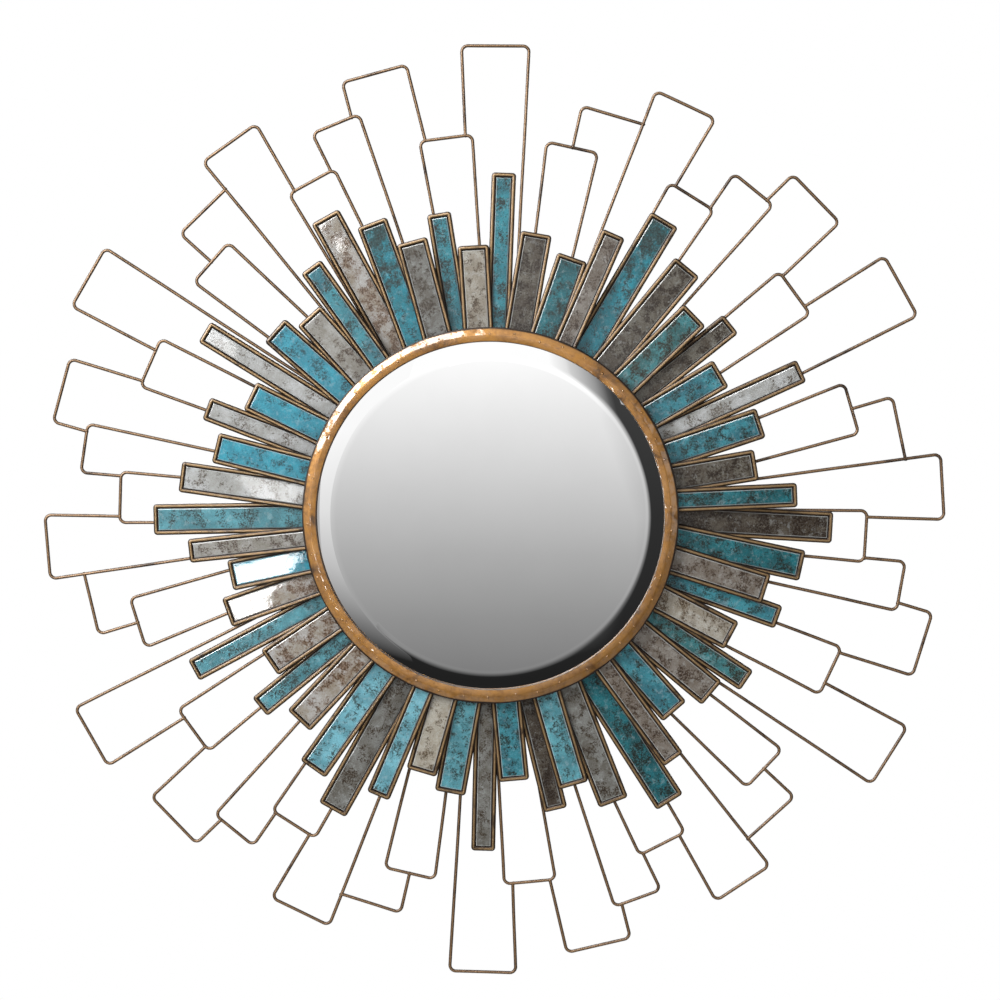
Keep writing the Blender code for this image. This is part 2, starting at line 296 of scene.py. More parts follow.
def noise_at(tree, vector, scale, detail=4.0, roughness=0.55, distortion=0.0):
    node = tree.nodes.new("ShaderNodeTexNoise")
    plug_all(tree, node, {
        "Vector": vector,
        "Scale": scale,
        "Detail": detail,
        "Roughness": roughness,
        "Distortion": distortion,
    })
    return node.outputs["Fac"]


def attribute(tree, name, output="Fac"):
    node = tree.nodes.new("ShaderNodeAttribute")
    node.attribute_name = name
    return node.outputs[output]


def spread(tree, value, low, high, to_low=0.0, to_high=1.0):
    """Maps low..high smoothly onto to_low..to_high, held at both ends."""
    node = tree.nodes.new("ShaderNodeMapRange")
    node.interpolation_type = "SMOOTHSTEP"
    plug_all(tree, node, {
        "Value": value,
        "From Min": low,
        "From Max": high,
        "To Min": to_low,
        "To Max": to_high,
    })
    return node.outputs["Result"]


def maths(tree, operation, first, second, clamp=False):
    node = tree.nodes.new("ShaderNodeMath")
    node.operation = operation
    node.use_clamp = clamp
    plug(tree, node, 0, first)
    plug(tree, node, 1, second)
    return node.outputs["Value"]


def weighed(tree, *parts):
    """The sum of values that each have a weight."""
    products = [maths(tree, "MULTIPLY", value, weight) for value, weight in parts]
    total = products[0]
    for product in products[1:]:
        total = maths(tree, "ADD", total, product)
    return total


def mix(tree, share, first, second):
    node = tree.nodes.new("ShaderNodeMix")
    node.data_type = "RGBA"
    plug(tree, node, "Factor", share)
    for socket, value in (("A_Color", first), ("B_Color", second)):
        target = next(item for item in node.inputs if item.identifier == socket)
        if isinstance(value, bpy.types.NodeSocket):
            tree.links.new(value, target)
        else:
            target.default_value = (*value, 1.0)
    return next(item for item in node.outputs if item.identifier == "Result_Color")


def bump(tree, height, strength, distance):
    node = tree.nodes.new("ShaderNodeBump")
    plug(tree, node, "Height", height)
    plug(tree, node, "Strength", strength)
    plug(tree, node, "Distance", distance)
    return node.outputs["Normal"]


def bronze(name, gold, brown, rubbed_highlight_gold, scale, metallic, roughness, coat, waviness, patchy=0.0):
    """Bronze under brown patina and lacquer. The mesh's shading attribute, which also marks worn
    places, is 1 where shade is painted dark into creases and along edges, and on real stains, and
    -1 where a highlight is painted on crests as worn-off patina. waviness is how far the lacquer's
    surface wanders, in metres, and patchy how much of it is gone in small patches."""
    material, tree, shader = new_material(name)
    place = position(tree)
    broad = noise_at(tree, place, scale, 5.0, 0.62, 0.6)
    fine = noise_at(tree, place, scale * 7, 4.0, 0.6)
    worn = weighed(tree, (broad, 0.65), (fine, 0.35))
    wear_and_shading = attribute(tree, "wear_and_shading")
    color = mix(tree, spread(tree, worn, 0.42, 0.60), gold, brown)
    # Painted highlight: below zero the attribute turns crests to the lighter gold. Painted shade: above zero
    # it turns creases and edges towards DARK.
    color = mix(tree, maths(tree, "MULTIPLY", wear_and_shading, -0.8, clamp=True), color, rubbed_highlight_gold)
    color = mix(tree, spread(tree, broad, 0.55, 0.70, 0.0, 0.85), color, DARK)
    color = mix(tree, wear_and_shading, color, DARK)
    plug(tree, shader, "Base Color", color)
    plug(tree, shader, "Metallic", metallic)
    low, high = roughness
    plug(tree, shader, "Roughness", spread(tree, fine, 0.3, 0.7, low, high))
    plug(tree, shader, "Specular IOR Level", 0.15)
    lacquered = maths(tree, "SUBTRACT", 1.0, wear_and_shading, clamp=True)
    matt = spread(tree, noise_at(tree, place, 120.0, 5.0, 0.68), 0.53, 0.58, 0.0, patchy)
    lacquered = maths(tree, "SUBTRACT", lacquered, matt, clamp=True)
    plug_all(tree, shader, {
        "Coat Weight": maths(tree, "MULTIPLY", lacquered, coat),
        "Coat Roughness": 0.06,
        "Coat IOR": 1.6,
        "Normal": bump(tree, worn, 0.3, 0.0002),
    })
    swell = noise_at(tree, place, 48.0, 2.5, 0.45)
    plug(tree, shader, "Coat Normal", bump(tree, swell, 1.0, waviness))
    return material


def antiqued_glass(name):
    """Polished glass over a mottled backing. The mesh's attributes give its colours and how much
    of the mottling shows. Its frosted edge is pale, partly from the frosting and partly as a painted
    highlight of the bevel catching light."""
    material, tree, shader = new_material(name)
    place = position(tree)
    clouds = spread(tree, noise_at(tree, place, 48.0, 4.0, 0.55, 0.5), 0.36, 0.62)
    blooms = spread(tree, noise_at(tree, place, 190.0, 3.0, 0.6), 0.52, 0.70, 0.0, 0.16)
    clusters = spread(tree, noise_at(tree, place, 85.0, 5.0, 0.65), 0.34, 0.66)
    grains = spread(tree, noise_at(tree, place, 560.0, 5.0, 0.8), 0.36, 0.64)
    dust = spread(tree, noise_at(tree, place, 1300.0, 2.0, 0.6), 0.40, 0.60)
    color = mix(tree, clouds, attribute(tree, "tint", "Color"), attribute(tree, "shade", "Color"))
    color = mix(tree, blooms, color, BLOOM)
    stain = attribute(tree, "stain", "Color")
    mottle = weighed(tree, (clusters, 0.64), (grains, 0.36))
    start = maths(tree, "SUBTRACT", 0.90, attribute(tree, "stain_share"))
    stained = spread(tree, mottle, start, maths(tree, "ADD", start, 0.46))
    color = mix(tree, maths(tree, "MULTIPLY", stained, 0.90), color, stain)
    specks = weighed(tree, (clusters, 0.30), (grains, 0.42), (dust, 0.28))
    start = maths(tree, "SUBTRACT", 0.90, maths(tree, "MULTIPLY", attribute(tree, "flecks"), 0.34))
    flecked = spread(tree, specks, start, maths(tree, "ADD", start, 0.11))
    color = mix(tree, maths(tree, "MULTIPLY", flecked, 0.85), color, DARK)
    color = mix(tree, maths(tree, "MULTIPLY", dust, 0.30), color, stain)
    clumps = maths(tree, "MULTIPLY", grains, clusters)
    color = mix(tree, spread(tree, clumps, 0.20, 0.75, 0.0, 0.55), color, DARK)
    color = mix(tree, spread(tree, grains, 0.05, 0.40, 0.05, 0.0), color, BLOOM)
    color = mix(tree, attribute(tree, "ground_glint"), color, GROUND_GLASS_GLINT)
    plug_all(tree, shader, {
        "Base Color": color,
        "Roughness": spread(tree, grains, 0.0, 1.0, 0.4, 0.6),
        "Specular IOR Level": 0.05,
        "Coat Weight": 1.0,
        "Coat Roughness": 0.03,
        "Coat IOR": 1.42,
    })
    peel = noise_at(tree, place, 260.0, 1.5, 0.5)
    plug(tree, shader, "Coat Normal", bump(tree, peel, 0.35, 0.00003))
    plug(tree, shader, "Normal", bump(tree, mottle, 0.3, 0.0002))
    return material


def silvered():
    material, tree, shader = new_material("silvered_glass")
    place = position(tree)
    haze = noise_at(tree, place, 14.0, 3.0)
    color = mix(tree, spread(tree, haze, 0.3, 0.7), (0.93, 0.93, 0.93), (0.91, 0.91, 0.91))
    plug(tree, shader, "Base Color", color)
    plug(tree, shader, "Metallic", 1.0)
    plug(tree, shader, "Roughness", spread(tree, haze, 0.3, 0.7, 0.0, 0.012))
    return material


def painted_board():
    material, tree, shader = new_material("blackened_board")
    place = position(tree)
    fibre = noise_at(tree, scaled(tree, place, (1.0, 1.0, 0.25)), 260.0, 4.0, 0.6)
    broad = noise_at(tree, place, 9.0, 4.0)
    rub = spread(tree, noise_at(tree, place, 60.0, 5.0, 0.7), 0.60, 0.74)
    color = mix(tree, broad, (0.030, 0.027, 0.025), (0.055, 0.048, 0.042))
    color = mix(tree, maths(tree, "MULTIPLY", rub, attribute(tree, "wear_and_shading")), color, (0.20, 0.13, 0.08))
    plug(tree, shader, "Base Color", color)
    plug(tree, shader, "Roughness", spread(tree, fibre, 0.3, 0.7, 0.55, 0.8))
    plug(tree, shader, "Normal", bump(tree, fibre, 0.5, 0.0005))
    return material


def dark_metal():
    material, tree, shader = new_material("dark_steel")
    place = position(tree)
    scale = noise_at(tree, place, 70.0, 6.0, 0.7)
    scratches = noise_at(tree, scaled(tree, place, (12.0, 300.0, 300.0)), 5.0, 3.0, 0.6)
    color = mix(tree, spread(tree, scale, 0.35, 0.7), (0.09, 0.085, 0.08), (0.17, 0.14, 0.11))
    color = mix(tree, spread(tree, scratches, 0.62, 0.75, 0.0, 0.5), color, (0.30, 0.29, 0.27))
    plug_all(tree, shader, {
        "Base Color": color,
        "Metallic": 0.85,
        "Roughness": spread(tree, scale, 0.3, 0.7, 0.38, 0.62),
        "Normal": bump(tree, scale, 0.25, 0.0004),
    })
    return material


def felt():
    material, tree, shader = new_material("felt")
    place = position(tree)
    fibre = noise_at(tree, place, 1400.0, 4.0, 0.75, 1.5)
    tuft = noise_at(tree, place, 160.0, 3.0)
    plug_all(tree, shader, {
        "Base Color": mix(tree, fibre, (0.022, 0.022, 0.024), (0.085, 0.083, 0.08)),
        "Roughness": 0.95,
        "Sheen Weight": 0.5,
        "Normal": bump(tree, maths(tree, "ADD", fibre, tuft), 0.7, 0.0008),
    })
    return material


SILVERED = silvered()
RING_BRONZE = bronze(
    "ring_bronze", gold=(0.32, 0.150, 0.030), brown=(0.20, 0.088, 0.017), rubbed_highlight_gold=(0.50, 0.26, 0.07),
    scale=30.0, metallic=0.2, roughness=(0.42, 0.60), coat=0.9, waviness=0.0016, patchy=0.85,
)
RIM_BRONZE = bronze(
    "rim_bronze", gold=(0.16, 0.092, 0.036), brown=(0.095, 0.052, 0.020), rubbed_highlight_gold=(0.31, 0.215, 0.110),
    scale=40.0, metallic=0.35, roughness=(0.32, 0.45), coat=0.35, waviness=0.0003,
)
WIRE_BRONZE = bronze(
    "wire_bronze", gold=(0.13, 0.074, 0.036), brown=(0.085, 0.046, 0.023), rubbed_highlight_gold=(0.22, 0.140, 0.075),
    scale=24.0, metallic=0.30, roughness=(0.40, 0.52), coat=0.12, waviness=0.0002,
)
TEAL_GLASS = antiqued_glass("teal_inlay")
GREY_GLASS = antiqued_glass("grey_inlay")
BOARD_PAINT = painted_board()
STEEL = dark_metal()
FELT = felt()


# Round middle

def turned(profile, segments, closed=False, wears=None):
    """A round shape from (radius, depth) pairs, with the wear of each pair's circle."""
    shape = bmesh.new()
    layer = wear_and_shading_layer(shape)
    loops = loft(shape, [circle(radius, depth, segments) for radius, depth in profile], closed)
    for loop, wear_and_shading in zip(loops, wears or [0.0] * len(loops)):
        for vertex in loop:
            vertex[layer] = wear_and_shading
    return shape


def join_width(bearing_deg):
    """How wide the soft turn from the flat to the bevel is at a bearing."""
    off = abs((bearing_deg - SOFT_MIDDLE_DEG + 180) % 360 - 180)
    return BEVEL_JOIN * min(1.0, max(0.0, (SOFT_END_DEG - off) / SOFT_FADE_DEG))


def bevel_drop(over, width, join):
    """How far the glass has fallen at a way onto the bevel, which steepens towards the edge."""
    if over < join:
        return BEVEL_SLOPES[0] * over ** 2 / (2 * join)
    rest = over - join
    steepening = (BEVEL_SLOPES[1] - BEVEL_SLOPES[0]) / (width - join)
    return BEVEL_SLOPES[0] * (join / 2 + rest) + steepening * rest ** 2 / 2


def bevel_ring(share):
    """Points round the bevel at a share of its width from the flat."""
    ring = []
    for i in range(GLASS_SEGMENTS):
        bearing = 360.0 * i / GLASS_SEGMENTS
        join = join_width(bearing)
        start = BEVEL_EDGE - join / 2
        width = GLASS_RADIUS - BEVEL_CHAMFER - start
        over = width * share
        point = around(bearing)[0] * (start + over)
        ring.append(Vector((point.x, point.y, GLASS_FRONT - bevel_drop(over, width, join))))
    return ring


def make_glass():
    inner = GLASS_RADIUS - BEVEL_CHAMFER
    outermost = bevel_ring(1.0)
    side = circle(GLASS_RADIUS, 0.0, GLASS_SEGMENTS)
    rings = [
        circle(inner, GLASS_REAR, GLASS_SEGMENTS),
        circle(GLASS_RADIUS, GLASS_REAR + BEVEL_CHAMFER, GLASS_SEGMENTS),
        [Vector((out.x, out.y, edge.z - BEVEL_CHAMFER)) for out, edge in zip(side, outermost)],
        *[bevel_ring(i / BEVEL_STEPS) for i in range(BEVEL_STEPS, -1, -1)],
        circle(BEVEL_EDGE - BEVEL_JOIN, GLASS_FRONT, GLASS_SEGMENTS),
    ]
    shape = bmesh.new()
    loft(shape, rings)
    add_piece("mirror_glass_bevelled", shape, SILVERED, "silvered_glass", "mirror_glass", smooth_below_deg=3)


def ring_front(share):
    """The moulding's front at a share of its width. It falls a little from its crest to its
    opening, and more to its outer side."""
    crest = RING_FRONT - PIMPLE_ROOM
    if share < RING_CREST_SHARE:
        return crest - RING_INNER_FALL * (1 - share / RING_CREST_SHARE) ** 2
    fall = (share - RING_CREST_SHARE) / (1 - RING_CREST_SHARE)
    return crest - RING_OUTER_FALL * fall ** 1.4


def ring_stains_and_shade(x, y, depth, share):
    """How dark the moulding is at a place: its lip wall and rear most, which is painted shade, then its
    stained edges, then the side turned from the key light, where shade is painted."""
    # Painted shade: the lip wall by the glass and the rear are made fully dark.
    if depth < RING_LIP_REAR + 0.001:
        return 1.0
    outer = share - RING_STAIN_START + RING_STAIN_WANDER * wobble(8, x * 45, y * 45)
    stained = max(outer, RING_STAIN_INNER - share)
    # Painted shade on the side turned from the key light.
    facing = Vector((x, y)).normalized().dot(around(RING_PAINTED_SHADE_DEG)[0])
    painted_shade = RING_PAINTED_SHADE * max(0.0, facing) ** 2
    return min(1.0, max(painted_shade, stained / RING_STAIN_FADE))


def make_ring():
    width = RING_RADIUS - RING_OPENING
    wall = GLASS_RADIUS + CLEARANCE
    profile = [(wall, RING_REAR), (RING_RADIUS, RING_REAR)]
    for i in range(RING_STEPS, -1, -1):
        share = i / RING_STEPS
        profile.append((RING_OPENING + width * share, ring_front(share)))
    profile += [(RING_OPENING, RING_LIP_REAR), (wall, RING_LIP_REAR)]
    shape = turned(profile, RING_SEGMENTS, closed=True)
    layer = shape.verts.layers.float["wear_and_shading"]
    for vertex in shape.verts:
        x, y, depth = vertex.co
        vertex[layer] = ring_stains_and_shade(x, y, depth, (vertex.co.xy.length - RING_OPENING) / width)
        if depth > RING_LIP_REAR + 0.001:
            vertex.co.z -= RING_WAVER * (1 + wobble(3, x * 60, y * 60))
    for i in range(PIMPLE_COUNT):
        bearing = 2 * math.pi * (i + 0.35 * wobble(5, i * 1.7)) / PIMPLE_COUNT
        share = 0.50 + 0.26 * wobble(6, i * 2.3)
        radius = RING_OPENING + width * share
        size = PIMPLE_RADIUS * (0.8 + 0.4 * abs(wobble(7, i * 3.1)))
        made = bmesh.ops.create_icosphere(shape, subdivisions=2, radius=1.0)
        # Painted shade darkens each pimple's edge, and a painted highlight lightens its top.
        for vertex in made["verts"]:
            vertex[layer] = min(1.0, max(-0.5, (vertex.co.xy.length - 0.6) / 0.3))
        squash = Matrix.Diagonal((size, size, PIMPLE_RISE, 1.0))
        height = ring_front(share) - PIMPLE_SINK
        middle = Vector((radius * math.sin(bearing), radius * math.cos(bearing), height))
        bmesh.ops.transform(shape, matrix=Matrix.Translation(middle) @ squash, verts=made["verts"])
    add_piece("ring_moulding", shape, RING_BRONZE, "antique_bronze", "ring_frame", smooth_below_deg=60)


# Trays

def tray_plan(node):
    """Where a tray lies in the plan, from its CAD node: the middle of its foot, the way it runs,
    its length, half its width at the foot and tip, and the depths of its rear and front."""
    to_plan = PLAN.inverted()
    points = {
        tuple(round(value, 6) for value in to_plan @ vertex.co)
        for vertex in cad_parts[node].data.vertices
    }
    rear = min(point[2] for point in points)
    front = max(point[2] for point in points)
    flat = [Vector(point[:2]) for point in points if point[2] < rear + 1e-5]
    flat.sort(key=lambda point: point.length)
    foot = (flat[0] + flat[1]) / 2
    across = (flat[1] - flat[0]).normalized()
    along = Vector((-across.y, across.x))
    if along.dot(foot) < 0:
        along.negate()
    across = Vector((along.y, -along.x))
    length = max((point - foot).dot(along) for point in flat)
    foot_half = (flat[1] - flat[0]).length / 2
    tip_half = max(abs((point - foot).dot(across)) for point in flat)
    return foot, along, across, length, foot_half, tip_half, rear, front


def tray_outline(length, foot_half, tip_half, inset):
    """Points round a tray with rounded corners, clockwise from the left of the foot, as
    (across, along), always as many."""
    foot_corner = max(FOOT_CORNER - inset * 0.4, 0.0004)
    tip_corner = max(TRAY_CORNER - inset, 0.0006)
    points = []

    def half_at(y):
        return foot_half + (tip_half - foot_half) * y / length - inset

    def corner(side, y, radius, first_deg, last_deg):
        centre_x = side * (half_at(y) - radius)
        centre_y = y - radius if y > length / 2 else y + radius
        for i in range(CORNER_STEPS + 1):
            turn = math.radians(first_deg + (last_deg - first_deg) * i / CORNER_STEPS)
            points.append(Vector((centre_x + radius * math.cos(turn), centre_y + radius * math.sin(turn))))

    def side_between(start, end, steps):
        points.extend(start.lerp(end, i / steps) for i in range(1, steps))

    foot, tip = inset, length - inset
    corner(-1, foot, foot_corner, 270, 180)
    left_foot = points[-1]
    left_tip = Vector((-half_at(tip), tip - tip_corner))
    side_between(left_foot, left_tip, SIDE_STEPS)
    corner(-1, tip, tip_corner, 180, 90)
    side_between(points[-1], Vector((half_at(tip) - tip_corner, tip)), END_STEPS)
    corner(1, tip, tip_corner, 90, 0)
    side_between(points[-1], Vector((half_at(foot), foot + foot_corner)), SIDE_STEPS)
    corner(1, foot, foot_corner, 360, 270)
    side_between(points[-1], points[0], END_STEPS)
    return points


def rim_sections(depth):
    """The rim's section from the middle of the rear round the bar to the pan's floor, as
    (inset, height, shading). The bar's crest is a painted highlight and its edges are painted dark, painted
    shade."""
    bar = []
    for i in range(BAR_STEPS + 1):
        turn = math.pi * i / BAR_STEPS
        off_crest = abs(math.cos(turn))
        # Painted highlight on the crest, painted shade towards the bar's edges.
        wear_and_shading = (off_crest - 0.34) / (0.34 if off_crest < 0.34 else 0.20)
        rise = (depth - RIM_SHOULDER) * math.sin(turn) ** 0.8
        bar.append((RIM_WIDTH / 2 * (1 - math.cos(turn)), RIM_SHOULDER + rise, min(1.0, wear_and_shading)))
    # Painted shade on the pan's outer wall and in the groove by the inlay, partly over dark patina.
    return (
        [(0.0062, 0.0004, 0.6), (0.0010, 0.0004, 1.0), (0.0008, 0.0, 0.5), (0.0, 0.0006, 0.7)]
        + bar
        + [(RIM_WIDTH + 0.0001, GROOVE_DEPTH, 1.0), (RIM_WIDTH + 0.0010, INLAY_REAR, 1.0)]
    )


def make_tray(number, plan):
    foot, along, across, length, foot_half, tip_half, rear, front = plan
    shape = bmesh.new()
    layer = wear_and_shading_layer(shape)
    rings = []
    sections = rim_sections(front - rear)
    for inset, height, _ in sections:
        ring = []
        for x, y in tray_outline(length, foot_half, tip_half, inset):
            drift = RIM_DRIFT * (1 + wobble(number, y * 45, x * 30))
            point = foot + across * (x - math.copysign(drift, x)) + along * y
            sink = 0.0
            if height > RIM_SHOULDER:
                sink = RIM_SINK * (1 + wobble(number + 60, y * 60, x * 60))
            ring.append(Vector((point.x, point.y, rear + height - sink)))
        rings.append(ring)
    for loop, (_, _, wear_and_shading) in zip(loft(shape, rings), sections):
        for vertex in loop:
            vertex[layer] = wear_and_shading
    node = f"tray_{number:02d}"
    add_piece(f"{node}_rim", shape, RIM_BRONZE, "antique_bronze", node, smooth_below_deg=60)


# How the inlays look. Each look has its main and second colour, the colour of its stains, how much
# of it is stained at the foot and at the tip, and how many dark flecks it has.
LOOKS = {
    "clear": ((0.040, 0.37, 0.50), (0.030, 0.26, 0.36), (0.025, 0.13, 0.16), 0.40, 0.30, 0.35),
    "pale": ((0.20, 0.52, 0.63), (0.12, 0.34, 0.42), (0.08, 0.16, 0.16), 0.42, 0.38, 0.50),
    "sea": ((0.12, 0.40, 0.48), (0.070, 0.24, 0.29), (0.05, 0.10, 0.10), 0.45, 0.42, 0.55),
    "teal": ((0.050, 0.29, 0.36), (0.030, 0.16, 0.21), (0.025, 0.065, 0.06), 0.48, 0.43, 0.65),
    "speckled": ((0.030, 0.28, 0.35), (0.018, 0.17, 0.22), (0.018, 0.05, 0.045), 0.45, 0.45, 1.0),
    "deep": ((0.014, 0.18, 0.22), (0.010, 0.10, 0.12), (0.012, 0.035, 0.03), 0.48, 0.48, 0.7),
    "fading": ((0.010, 0.29, 0.39), (0.010, 0.17, 0.22), (0.014, 0.050, 0.050), 0.15, 0.90, 0.5),
    "mossy": ((0.050, 0.24, 0.27), (0.030, 0.13, 0.14), (0.035, 0.045, 0.03), 0.55, 0.55, 0.8),
    "silver": ((0.54, 0.56, 0.57), (0.38, 0.39, 0.38), (0.20, 0.155, 0.11), 0.38, 0.33, 0.35),
    "cream": ((0.52, 0.50, 0.44), (0.36, 0.33, 0.27), (0.18, 0.125, 0.07), 0.45, 0.42, 0.40),
    "stone": ((0.40, 0.40, 0.38), (0.25, 0.24, 0.21), (0.14, 0.10, 0.07), 0.45, 0.42, 0.45),
    "smoke": ((0.215, 0.22, 0.21), (0.125, 0.12, 0.105), (0.080, 0.060, 0.040), 0.48, 0.48, 0.55),
    "rusty": ((0.46, 0.46, 0.45), (0.30, 0.27, 0.22), (0.17, 0.090, 0.042), 0.62, 0.48, 0.5),
    "brown": ((0.150, 0.138, 0.112), (0.075, 0.060, 0.044), (0.040, 0.026, 0.015), 0.52, 0.58, 0.8),
    "umber": ((0.105, 0.090, 0.070), (0.050, 0.038, 0.027), (0.030, 0.018, 0.010), 0.55, 0.55, 0.8),
    "beige": ((0.44, 0.42, 0.37), (0.28, 0.25, 0.20), (0.15, 0.10, 0.055), 0.48, 0.43, 0.45),
    "pink": ((0.26, 0.24, 0.215), (0.16, 0.135, 0.110), (0.09, 0.057, 0.036), 0.52, 0.48, 0.65),
}

# Nine inlays for each sixth of the round, clockwise from the top
INLAY_LOOKS = (
    ("speckled", "brown", "deep", "pink", "fading", "brown", "mossy", "brown", "teal"),
    ("silver", "teal", "brown", "deep", "umber", "deep", "pink", "teal", "beige"),
    ("mossy", "pink", "teal", "pink", "deep", "smoke", "sea", "umber", "teal"),
    ("smoke", "sea", "cream", "pale", "smoke", "pale", "rusty", "sea", "rusty"),
    ("sea", "rusty", "clear", "stone", "sea", "silver", "clear", "silver", "clear"),
    ("silver", "clear", "stone", "teal", "rusty", "fading", "smoke", "speckled", "beige"),
)


def inlay_lines(start, end, bevel, steps):
    """Places of grid lines from one edge to the other, with two in each bevel."""
    inner = [start + bevel + (end - start - 2 * bevel) * i / steps for i in range(steps + 1)]
    return [start, start + bevel * GROUND_SHARE, *inner, end - bevel * GROUND_SHARE, end]


def make_inlay(number, plan, look, glass, slot):
    """A slab of glass with a bevelled edge, on a grid that follows the tray's taper."""
    foot, along, across, length, foot_half, tip_half, rear, front = plan
    tint, shade, stain, foot_share, tip_share, flecks = look
    shape = bmesh.new()
    colors = {name: shape.verts.layers.float_color.new(name) for name in ("tint", "shade", "stain")}
    share_layer = shape.verts.layers.float.new("stain_share")
    fleck_layer = shape.verts.layers.float.new("flecks")
    ground_glint_layer = shape.verts.layers.float.new("ground_glint")
    top = front - INLAY_DROP
    start, end = INLAY_INSET, length - INLAY_INSET
    rows = []
    for y in inlay_lines(start, end, INLAY_BEVEL, INLAY_ROWS):
        half = foot_half + (tip_half - foot_half) * y / length - INLAY_INSET
        row = []
        for x in inlay_lines(-half, half, INLAY_BEVEL, INLAY_COLUMNS):
            to_edge = min(half - abs(x), y - start, end - y)
            edge = max(0.0, 1 - to_edge / INLAY_BEVEL)
            ripple = INLAY_RIPPLE * wobble(number + 120, x * 60, y * 40)
            point = foot + across * x + along * y
            height = top - INLAY_BEVEL_DROP * edge + ripple
            vertex = shape.verts.new((point.x, point.y, height))
            # The bevel is made pale, partly as a painted highlight.
            vertex[ground_glint_layer] = GROUND_GLINT_PALENESS if edge > 0.1 else 0.0
            progress = (y - start) / (end - start)
            vertex[share_layer] = foot_share + (tip_share - foot_share) * progress
            row.append(vertex)
        rows.append(row)
    for lower, upper in zip(rows, rows[1:]):
        for i in range(len(lower) - 1):
            shape.faces.new((lower[i], lower[i + 1], upper[i + 1], upper[i]))
    rim = rows[0] + [row[-1] for row in rows[1:]] + rows[-1][-2::-1] + [row[0] for row in rows[-2:0:-1]]
    base = [shape.verts.new((v.co.x, v.co.y, rear + INLAY_REAR + CLEARANCE)) for v in rim]
    for i in range(len(rim)):
        j = (i + 1) % len(rim)
        shape.faces.new((rim[j], rim[i], base[i], base[j]))
    shape.faces.new(base)
    for vertex in shape.verts:
        for name, color in (("tint", tint), ("shade", shade), ("stain", stain)):
            vertex[colors[name]] = (*color, 1.0)
        vertex[fleck_layer] = flecks
    node = f"tray_{number:02d}"
    add_piece(f"{node}_inlay", shape, glass, slot, node, smooth_below_deg=12)


def make_trays():
    looks = [name for sector in INLAY_LOOKS for name in sector]
    for number in range(1, TRAY_COUNT + 1):
        plan = tray_plan(f"tray_{number:02d}")
        make_tray(number, plan)
        teal = number % 2 == 1
        glass, slot = (TEAL_GLASS, "teal_inlay") if teal else (GREY_GLASS, "grey_inlay")
        make_inlay(number, plan, LOOKS[looks[number - 1]], glass, slot)


# Wire lattice: the pattern of the CAD model's loops, with rounder bends and a hand-bent waver

SECTORS = 6
SECTOR_DEG = 360.0 / SECTORS
LOW_BAR = 0.3746
MIDDLE_BAR = 0.4154
HIGH_BAR = 0.4504
TOP_BAR = 0.4661

# Each loop of a sixth has the radius of its bar and its two legs. A leg has the bearing of its
# corner, how far it drifts clockwise for each unit it runs inwards, and what it is welded to.
SECTOR_LOOPS = {
    "top": (TOP_BAR, (-3.4, -0.020, "before:low_c"), (4.87, 0.029, "hub")),
    "low_a": (LOW_BAR, (8.70, 0.025, "hub"), (16.64, 0.048, "hub")),
    "step": (MIDDLE_BAR, (12.73, 0.0, "bar:low_a"), (21.4, 0.0, "leg:high_a")),
    "high_a": (HIGH_BAR, (21.40, 0.0, "hub"), (29.66, -0.020, "bar:low_b")),
    "low_b": (LOW_BAR, (28.47, -0.020, "hub"), (36.28, 0.030, "hub")),
    "middle": (MIDDLE_BAR, (35.55, 0.020, "bar:low_b"), (42.42, 0.010, "hub")),
    "high_b": (HIGH_BAR, (41.68, -0.070, "bar:middle"), (50.05, 0.058, "bar:low_c")),
    "low_c": (LOW_BAR, (49.88, 0.0, "hub"), (57.85, 0.018, "hub")),
}

# Each sixth's own turn in degrees, that of its top loop, and its reach as a share of the pattern's
SECTOR_TURNS = (-0.2, 0.7, 0.1, 0.05, 0.1, -0.7)
TOP_LOOP_TURNS = (-0.2, -0.1, 0.3, 0.3, 0.0, -0.3)
SECTOR_REACHES = (0.9985, 0.9985, 1.0, 1.0, 1.002, 1.008)

HUB_INNER = BOARD_RADIUS + CLEARANCE
HUB_MIDDLE = HUB_INNER + HUB_WIDTH / 2
WIRE_MIDDLE = WIRE_FRONT - CAD_WIRE_RADIUS


def turn_of(sector, name):
    turns = TOP_LOOP_TURNS if name == "top" else SECTOR_TURNS
    return sector * SECTOR_DEG + turns[sector]


def bar_radius(sector, name):
    return SECTOR_LOOPS[name][0] * SECTOR_REACHES[sector]


def bar_of(sector, name):
    _, left, right = SECTOR_LOOPS[name]
    turn = turn_of(sector, name)
    radius = bar_radius(sector, name)
    return around(left[0] + turn)[0] * radius, around(right[0] + turn)[0] * radius


def inward_line(sector, name, leg):
    """Where a leg starts and the way it runs inwards."""
    outwards, sideways = around(leg[0] + turn_of(sector, name))
    return outwards * bar_radius(sector, name), sideways * leg[1] - outwards


def leg_end(sector, name, leg):
    start, way = inward_line(sector, name, leg)
    if leg[2] == "hub":
        return start + way * (bar_radius(sector, name) - HUB_MIDDLE)
    kind, other = leg[2].split(":")
    first, second = bar_of(sector - 1 if kind == "before" else sector, other)
    across = second - first
    return start + way * ((first - start).cross(across) / way.cross(across))


def loop_path(sector, name):
    _, left, right = SECTOR_LOOPS[name]
    first, second = bar_of(sector, name)
    path = [leg_end(sector, name, left), first]
    if right[2].startswith("leg:"):
        other = right[2].split(":")[1]
        start, way = inward_line(sector, other, SECTOR_LOOPS[other][1])
        path.append(start + way * (bar_radius(sector, other) - bar_radius(sector, name)))
    else:
        path += [second, leg_end(sector, name, right)]
    return path


